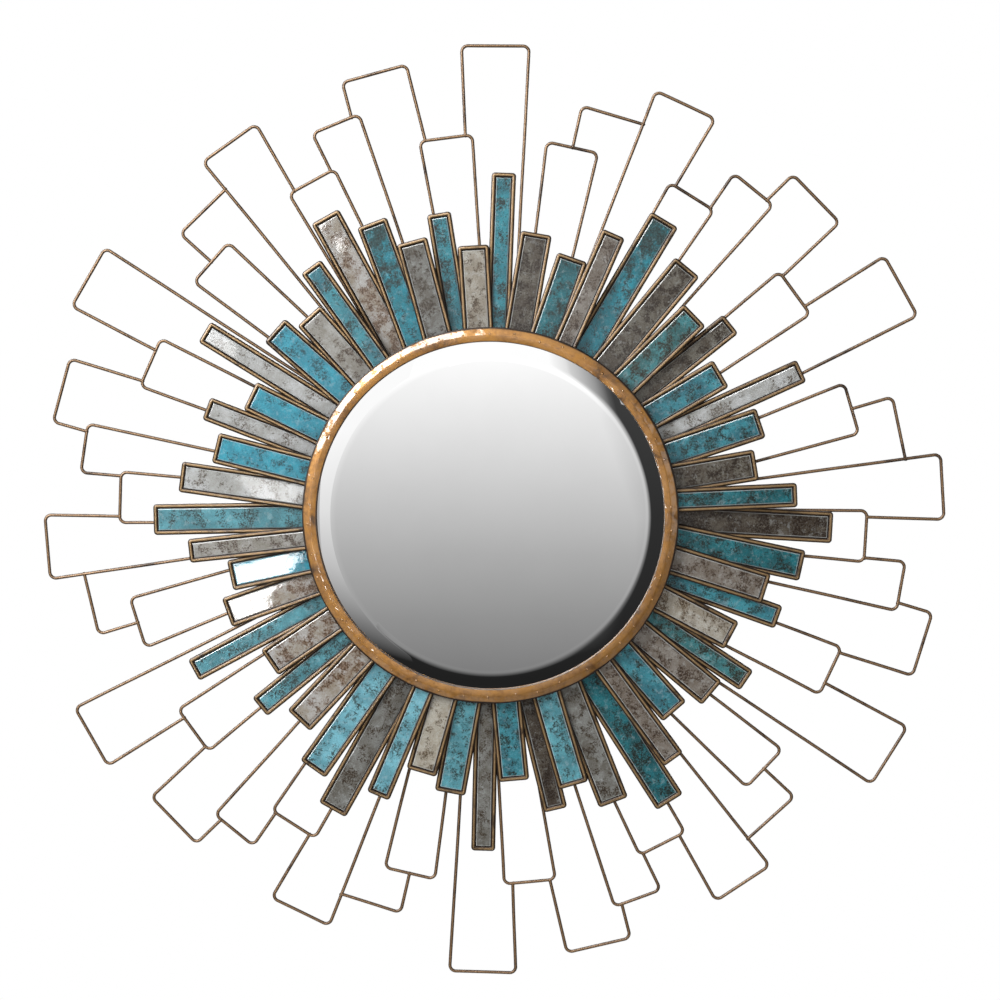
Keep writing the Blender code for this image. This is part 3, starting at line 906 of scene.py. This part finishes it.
def bent(path):
    """The path with round bends, and points a short step apart between them."""
    points = [path[0]]
    for before, corner, after in zip(path, path[1:], path[2:]):
        back = (before - corner).normalized()
        on = (after - corner).normalized()
        half = back.angle(on) / 2
        reach = WIRE_BEND_RADIUS / math.tan(half)
        centre = corner + (back + on).normalized() * (WIRE_BEND_RADIUS / math.sin(half))
        start, end = corner + back * reach, corner + on * reach
        run_to(points, start)
        for i in range(1, WIRE_BEND_STEPS + 1):
            spoke = (start - centre).lerp(end - centre, i / WIRE_BEND_STEPS).normalized()
            points.append(centre + spoke * WIRE_BEND_RADIUS)
    run_to(points, path[-1])
    return points


def run_to(points, end):
    """Adds points on the straight line to the end."""
    start = points[-1]
    steps = max(1, round((end - start).length / WIRE_STEP))
    points.extend(start.lerp(end, i / steps) for i in range(1, steps + 1))


def add_wire(shape, layer, seed, points):
    """A round wire along the points, with the slight waver of wire bent by hand."""
    rings = []
    run = 0.0
    last = len(points) - 1
    for i, point in enumerate(points):
        run += (point - points[i - 1]).length if i else 0.0
        way = (points[min(i + 1, last)] - points[max(i - 1, 0)]).normalized()
        sideways = Vector((way.y, -way.x))
        waver = WIRE_WAVE * wobble(seed, run * 14)
        middle = point * (1 - WIRE_WAVE / point.length) + sideways * waver
        size = WIRE_RADIUS * (1 + 0.02 * wobble(seed + 50, run * 40))
        ring = []
        for k in range(WIRE_SIDES):
            angle = 2 * math.pi * k / WIRE_SIDES
            flat = middle + sideways * size * math.cos(angle)
            ring.append(Vector((flat.x, flat.y, WIRE_MIDDLE + size * math.sin(angle))))
        rings.append(ring)
    # Painted shade darkens each wire's sides, and a painted highlight lightens its crest.
    for loop in loft(shape, rings):
        for k, vertex in enumerate(loop):
            off_crest = abs(math.cos(2 * math.pi * k / WIRE_SIDES))
            vertex[layer] = min(0.95, (off_crest - 0.40) / 0.40)


def add_bead(shape, layer, seed, middle):
    """A lump of weld."""
    made = bmesh.ops.create_icosphere(shape, subdivisions=2, radius=BEAD_RADIUS)
    for vertex in made["verts"]:
        vertex.co *= 1 + BEAD_LUMPS * wobble(seed, *(vertex.co * 420))
        vertex.co.z *= BEAD_FLATNESS
        vertex[layer] = 0.6
    bmesh.ops.translate(shape, vec=(middle.x, middle.y, WIRE_MIDDLE), verts=made["verts"])


def make_wires():
    shape = bmesh.new()
    layer = wear_and_shading_layer(shape)
    seed = 0
    for sector in range(SECTORS):
        for name, (_, left, right) in SECTOR_LOOPS.items():
            seed += 1
            path = loop_path(sector, name)
            add_wire(shape, layer, seed, bent(path))
            for leg, end in ((left, path[0]), (right, path[-1])):
                add_bead(shape, layer, seed + len(leg[2]), end)
    add_piece("wire_lattice", shape, WIRE_BRONZE, "wire_bronze", "wire_rays", smooth_below_deg=60)


def make_hub():
    outer = HUB_INNER + HUB_WIDTH
    rear, front = WIRE_MIDDLE - HUB_THICKNESS / 2, WIRE_MIDDLE + HUB_THICKNESS / 2
    soft = 0.0005
    profile = (
        (HUB_INNER, rear + soft), (HUB_INNER + soft, rear), (outer - soft, rear), (outer, rear + soft),
        (outer, front - soft), (outer - soft, front), (HUB_INNER + soft, front), (HUB_INNER, front - soft),
    )
    shape = turned(profile, GLASS_SEGMENTS, closed=True, wears=[0.5] * len(profile))
    add_piece("wire_hub", shape, WIRE_BRONZE, "wire_bronze", "wire_rays")


# Back

def box_of(node):
    """A node's box in the plan: its middle across and up, its size, and its rear and front."""
    low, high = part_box(node)
    rear, front = depth_range(node)
    middle = Vector(((low.x + high.x) / 2, (low.z + high.z) / 2 - MIDDLE_UP))
    return middle, high.x - low.x, high.z - low.z, rear, front


def add_screw(shape, layer, middle, rear):
    """A domed screw head that stands out backwards from depth rear, with a cross in it."""
    made = bmesh.ops.create_uvsphere(shape, u_segments=24, v_segments=12, radius=SCREW_RADIUS)
    for vertex in made["verts"]:
        vertex.co.z *= SCREW_RISE / SCREW_RADIUS
        across = min(abs(vertex.co.x), abs(vertex.co.y)) / SCREW_RADIUS
        reach = vertex.co.xy.length / SCREW_RADIUS
        if across < CROSS_HALF_WIDTH and reach < CROSS_REACH and vertex.co.z < 0:
            vertex.co.z *= CROSS_HEIGHT
            vertex[layer] = 1.0
    bmesh.ops.translate(shape, vec=(middle.x, middle.y, rear), verts=made["verts"])


def make_board():
    """A turned board with eased edges, and a ring of screws that hold it to the moulding."""
    ease = 0.0012
    profile = (
        (BOARD_RADIUS - ease, BOARD_REAR), (BOARD_RADIUS, BOARD_REAR + ease),
        (BOARD_RADIUS, BOARD_FRONT - ease), (BOARD_RADIUS - ease, BOARD_FRONT),
    )
    shape = turned(profile, GLASS_SEGMENTS, wears=[1.0, 1.0, 0.5, 0.5])
    add_piece("backing_board_painted", shape, BOARD_PAINT, "blackened_board", "backing_board")
    shape = bmesh.new()
    layer = wear_and_shading_layer(shape)
    for i in range(BOARD_SCREWS):
        outwards, _ = around(360.0 * (i + 0.5) / BOARD_SCREWS)
        add_screw(shape, layer, outwards * (BOARD_RADIUS - BOARD_SCREW_INSET), BOARD_REAR)
    add_piece("board_screws", shape, STEEL, "dark_steel", "backing_board")


def eased_box(shape, middle, width, height, rear, front, ease):
    """A box with rounded corners and eased edges, lofted from its rear to its front."""
    rings = []
    for inset, depth in ((ease, rear), (0.0, rear + ease), (0.0, front - ease), (ease, front)):
        ring = []
        for side_x, side_y, first in ((1, 1, 0), (-1, 1, 90), (-1, -1, 180), (1, -1, 270)):
            centre_x = middle.x + side_x * (width / 2 - 2 * ease)
            centre_y = middle.y + side_y * (height / 2 - 2 * ease)
            for k in range(5):
                turn = math.radians(first + 22.5 * k)
                reach = 2 * ease - inset
                ring.append(Vector((
                    centre_x + reach * math.cos(turn), centre_y + reach * math.sin(turn), depth,
                )))
        rings.append(ring)
    loft(shape, rings)


def make_cleat():
    """A steel bar whose lower edge slopes to hook over a bar on the wall, with four screws."""
    middle, width, height, rear, front = box_of("hanging_cleat")
    ease = 0.0006
    back = rear + SCREW_RISE
    low, high = middle.y - height / 2, middle.y + height / 2
    slope = front - rear
    section = (
        (high - ease, back), (high, back + ease), (high, front - ease), (high - ease, front),
        (low + ease, front), (low, front - ease), (low + slope - SCREW_RISE, back),
    )
    shape = bmesh.new()
    layer = wear_and_shading_layer(shape)
    ends = ((-width / 2, ease), (-width / 2 + ease, 0.0), (width / 2 - ease, 0.0), (width / 2, ease))
    rings = []
    for x, inset in ends:
        centre_y, centre_z = (low + high) / 2, (back + front) / 2
        rings.append([
            Vector((
                middle.x + x,
                y - math.copysign(inset, y - centre_y),
                z - math.copysign(inset, z - centre_z),
            ))
            for y, z in section
        ])
    loft(shape, rings)
    for share in CLEAT_SCREWS:
        place = Vector((middle.x + width * share, middle.y + height * CLEAT_SCREWS_UP))
        add_screw(shape, layer, place, back)
    add_piece("hanging_cleat_steel", shape, STEEL, "dark_steel", "hanging_cleat")


def make_strip():
    """A felt strip with soft edges that keeps the lower back off the wall."""
    middle, width, height, rear, front = box_of("spacer_strip")
    shape = bmesh.new()
    eased_box(shape, middle, width, height, rear, front, 0.0014)
    add_piece("spacer_strip_felt", shape, FELT, "felt", "spacer_strip")


make_glass()
make_ring()
make_trays()
make_wires()
make_hub()
make_board()
make_cleat()
make_strip()


# Studio: a pale floor, a white surround, soft light and cards that the mirror sees

def add_stage_mesh(name, points, material):
    mesh = bpy.data.meshes.new(name)
    mesh.from_pydata(points, [], [range(len(points))])
    mesh.materials.append(material)
    made = bpy.data.objects.new(name, mesh)
    bpy.context.scene.collection.objects.link(made)
    return made


def make_floor():
    material, tree, shader = new_material("pale_floor")
    grain = noise_at(tree, position(tree), 6.0, 5.0, 0.6)
    plug(tree, shader, "Base Color", mix(tree, grain, (0.80, 0.79, 0.77), (0.86, 0.85, 0.83)))
    plug(tree, shader, "Roughness", 0.8)
    height = MIDDLE_UP - FLOOR_BELOW_MIDDLE
    points = [(p.x, p.y, height) for p in circle(FLOOR_RADIUS, 0.0, 96)]
    add_stage_mesh("floor", list(reversed(points)), material)


EVEN = ((-9.0, 1.0), (9.0, 1.0))
DARKNESS = ((-9.0, 0.0), (9.0, 0.0))
NO_LEAN = (0.0, 0.0, 0.0)
CARD_GAIN = 1.08


def box_corners(left, right, low, high):
    return (left, low), (left, high), (right, high), (right, low)


def brightness_at(tree, place, stops):
    """Light that changes evenly between (place, brightness) stops."""
    first, last = stops[0][0], stops[-1][0]
    share = tree.nodes.new("ShaderNodeMapRange")
    plug(tree, share, "Value", place)
    plug(tree, share, "From Min", first)
    plug(tree, share, "From Max", last)
    ramp = tree.nodes.new("ShaderNodeValToRGB")
    tree.links.new(share.outputs["Result"], ramp.inputs["Fac"])
    elements = ramp.color_ramp.elements
    while len(elements) < len(stops):
        elements.new(0.5)
    for element, (stop, bright) in zip(elements, stops):
        element.position = (stop - first) / (last - first)
        element.color = (bright, bright, bright, 1.0)
    return ramp.outputs["Color"]


def make_card(
    name, corners, gain, up=EVEN, across=EVEN, away=EVEN, floor=DARKNESS, lean=NO_LEAN, behind=0.0,
):
    """A card behind the camera that only shows in reflections. corners are (across, up) in metres
    from the middle of the glass. Its light is up times across times away plus floor, each given as
    stops, of which across changes sideways, away outwards from what the middle of the glass shows,
    and the others upwards. lean is how far the stops of across move to the right for each metre
    above the middle, for each metre below it, and at the most."""
    material = bpy.data.materials.new(name)
    material.use_nodes = True
    tree = material.node_tree
    tree.nodes.clear()
    split = tree.nodes.new("ShaderNodeSeparateXYZ")
    tree.links.new(position(tree), split.inputs["Vector"])
    height = maths(tree, "SUBTRACT", split.outputs["Z"], MIDDLE_UP)
    lean_above, lean_below, most = lean
    shift = maths(
        tree, "MAXIMUM",
        maths(tree, "MULTIPLY", height, lean_above), maths(tree, "MULTIPLY", height, -lean_below),
    )
    shift = maths(tree, "MINIMUM", shift, most)
    sideways = maths(tree, "SUBTRACT", split.outputs["X"], shift)
    centre_x, centre_up = SHOWN_BY_MIDDLE
    distance = tree.nodes.new("ShaderNodeVectorMath")
    distance.operation = "DISTANCE"
    plug(tree, distance, 0, position(tree))
    plug(tree, distance, 1, (centre_x, -CARD_DISTANCE - behind, MIDDLE_UP + centre_up))
    lit = brightness_at(tree, height, up)
    lit = maths(tree, "MULTIPLY", lit, brightness_at(tree, sideways, across))
    lit = maths(tree, "MULTIPLY", lit, brightness_at(tree, distance.outputs["Value"], away))
    lit = maths(tree, "ADD", lit, brightness_at(tree, height, floor))
    light = tree.nodes.new("ShaderNodeEmission")
    plug(tree, light, "Color", (1.0, 1.0, 1.0, 1.0))
    plug(tree, light, "Strength", maths(tree, "MULTIPLY", lit, gain))
    out = tree.nodes.new("ShaderNodeOutputMaterial")
    tree.links.new(light.outputs["Emission"], out.inputs["Surface"])
    points = [(x, -CARD_DISTANCE - behind, MIDDLE_UP + z) for x, z in corners]
    card = add_stage_mesh(name, points, material)
    card.visible_camera = False
    card.visible_diffuse = False
    card.visible_shadow = False


def add_area_light(name, place, size, power):
    data = bpy.data.lights.new(name, "AREA")
    data.shape = "RECTANGLE"
    data.size, data.size_y = size
    data.energy = power
    light = bpy.data.objects.new(name, data)
    light.location = (place[0], place[1], MIDDLE_UP + place[2])
    aim = Vector((0.0, 0.0, MIDDLE_UP)) - light.location
    light.rotation_euler = aim.to_track_quat("-Z", "Y").to_euler()
    light.visible_camera = False
    bpy.context.scene.collection.objects.link(light)


def make_world():
    """White to the camera. Metal and glass see a room that is bright in front and above, and dim
    behind the mirror."""
    world = bpy.data.worlds.new("studio")
    world.use_nodes = True
    tree = world.node_tree
    tree.nodes.clear()
    way = tree.nodes.new("ShaderNodeSeparateXYZ")
    tree.links.new(tree.nodes.new("ShaderNodeTexCoord").outputs["Generated"], way.inputs["Vector"])
    in_front = spread(tree, way.outputs["Y"], 0.3, -0.7, 0.05, 0.40)
    above = spread(tree, way.outputs["Z"], -0.7, 0.9, 0.0, 0.20)
    room = maths(tree, "ADD", in_front, above)
    seen = tree.nodes.new("ShaderNodeLightPath").outputs["Is Camera Ray"]
    light = tree.nodes.new("ShaderNodeBackground")
    plug(tree, light, "Color", (1.0, 1.0, 1.0, 1.0))
    tree.links.new(spread(tree, seen, 0.0, 1.0, room, 1.0), light.inputs["Strength"])
    out = tree.nodes.new("ShaderNodeOutputWorld")
    tree.links.new(light.outputs["Background"], out.inputs["Surface"])
    bpy.context.scene.world = world


def make_camera():
    data = bpy.data.cameras.new("camera")
    data.sensor_width = SENSOR_WIDTH
    data.lens = SENSOR_WIDTH * CAMERA_DISTANCE / VIEW_WIDTH
    data.shift_x = 0.5 - MIDDLE_IN_IMAGE[0] / IMAGE_SIDE
    data.shift_y = MIDDLE_IN_IMAGE[1] / IMAGE_SIDE - 0.5
    camera = bpy.data.objects.new("camera", data)
    azimuth = math.radians(CAMERA_AZIMUTH_DEG)
    elevation = math.radians(CAMERA_ELEVATION_DEG)
    back = Vector((
        math.sin(azimuth) * math.cos(elevation),
        -math.cos(azimuth) * math.cos(elevation),
        math.sin(elevation),
    ))
    camera.location = Vector((0.0, -WIRE_MIDDLE, MIDDLE_UP)) + back * CAMERA_DISTANCE
    camera.rotation_euler = (-back).to_track_quat("-Z", "Y").to_euler()
    bpy.context.scene.collection.objects.link(camera)
    bpy.context.scene.camera = camera


# Softboxes stand in front of the wall card. Each has its brightness and its corners.
SOFTBOX_FORWARD = 0.05
SOFTBOXES = {
    "lower_left_softbox": (36.0, (
        (-0.76, -0.325), (-0.555, -0.295), (-0.612, -0.352), (-0.640, -0.415), (-0.655, -0.435),
        (-0.76, -0.470),
    )),
    "left_softbox": (13.0, (
        (-0.724, -0.124), (-0.565, -0.151), (-0.568, -0.182), (-0.660, -0.170), (-0.686, -0.148),
    )),
    "upper_left_softbox": (12.0, ((-0.80, 0.215), (-0.80, 0.155), (-0.71, 0.115), (-0.715, 0.175))),
    "top_left_softbox": (28.0, (
        (-0.57, 0.44), (-0.52, 0.455), (-0.508, 0.43), (-0.52, 0.40), (-0.545, 0.395),
    )),
    "high_spot": (26.0, ((-0.49, 0.388), (-0.468, 0.388), (-0.468, 0.362), (-0.485, 0.362))),
}

# Each light's place from the middle of the glass, its size and its power
LIGHTS = {
    "key": ((-1.30, -1.45, 1.0), (1.0, 1.0), 30.0),
    "fill": ((1.6, -1.8, 0.2), (1.2, 1.2), 6.0),
    "above_back": ((0.0, 1.5, 2.0), (2.0, 2.0), 60.0),
    "back_left": ((-0.9, 2.2, 0.6), (1.4, 1.4), 60.0),
    "back_right": ((1.1, 2.2, 0.1), (1.0, 1.4), 30.0),
}

make_floor()
make_card(
    "wall_card",
    ((-0.58, -1.60), (-0.58, 1.30), (0.56, 1.30), (0.56, 0.40), (2.20, 0.40), (2.20, -1.60)), CARD_GAIN,
    up=(
        (-0.95, 0.0), (-0.565, 0.180), (-0.44, 0.262), (-0.30, 0.390), (-0.157, 0.562),
        (0.14, 0.960), (1.30, 0.954),
    ),
    across=((0.08, 1.0), (0.11, 0.90), (0.175, 0.75), (0.20, 0.60), (0.34, 0.28), (0.42, 0.05), (0.46, 0.0)),
    away=((0.338, 1.0), (0.350, 1.12), (0.42, 1.12), (0.60, 1.0)),
    floor=((-1.1, 0.0145), (-0.216, 0.028), (0.40, 0.046)), lean=(0.12, 0.37, 0.08),
)
make_card(
    "left_card", box_corners(-1.12, -0.58, -1.05, 1.30), CARD_GAIN,
    up=((-1.02, 0.015), (-0.80, 0.21), (-0.50, 0.52), (-0.20, 0.755), (0.25, 0.96), (1.30, 1.0)),
)
make_card("low_flag", box_corners(-1.70, -0.58, -1.60, -1.05), 0.0157)
for name, (gain, corners) in SOFTBOXES.items():
    make_card(name, corners, gain, behind=-SOFTBOX_FORWARD)
make_card(
    "big_softbox", ((-1.10, 0.30), (-9.0, 2.2), (-9.0, 9.0), (-1.7, 9.0), (-0.35, 1.35), (-0.60, 0.90)),
    18.0, behind=0.05,
)
make_card("right_softbox", box_corners(4.5, 9.0, -3.5, 2.5), 1.5)
for name, (place, size, power) in LIGHTS.items():
    add_area_light(name, place, size, power)
make_world()
make_camera()
bpy.context.scene.view_settings.view_transform = "Standard"
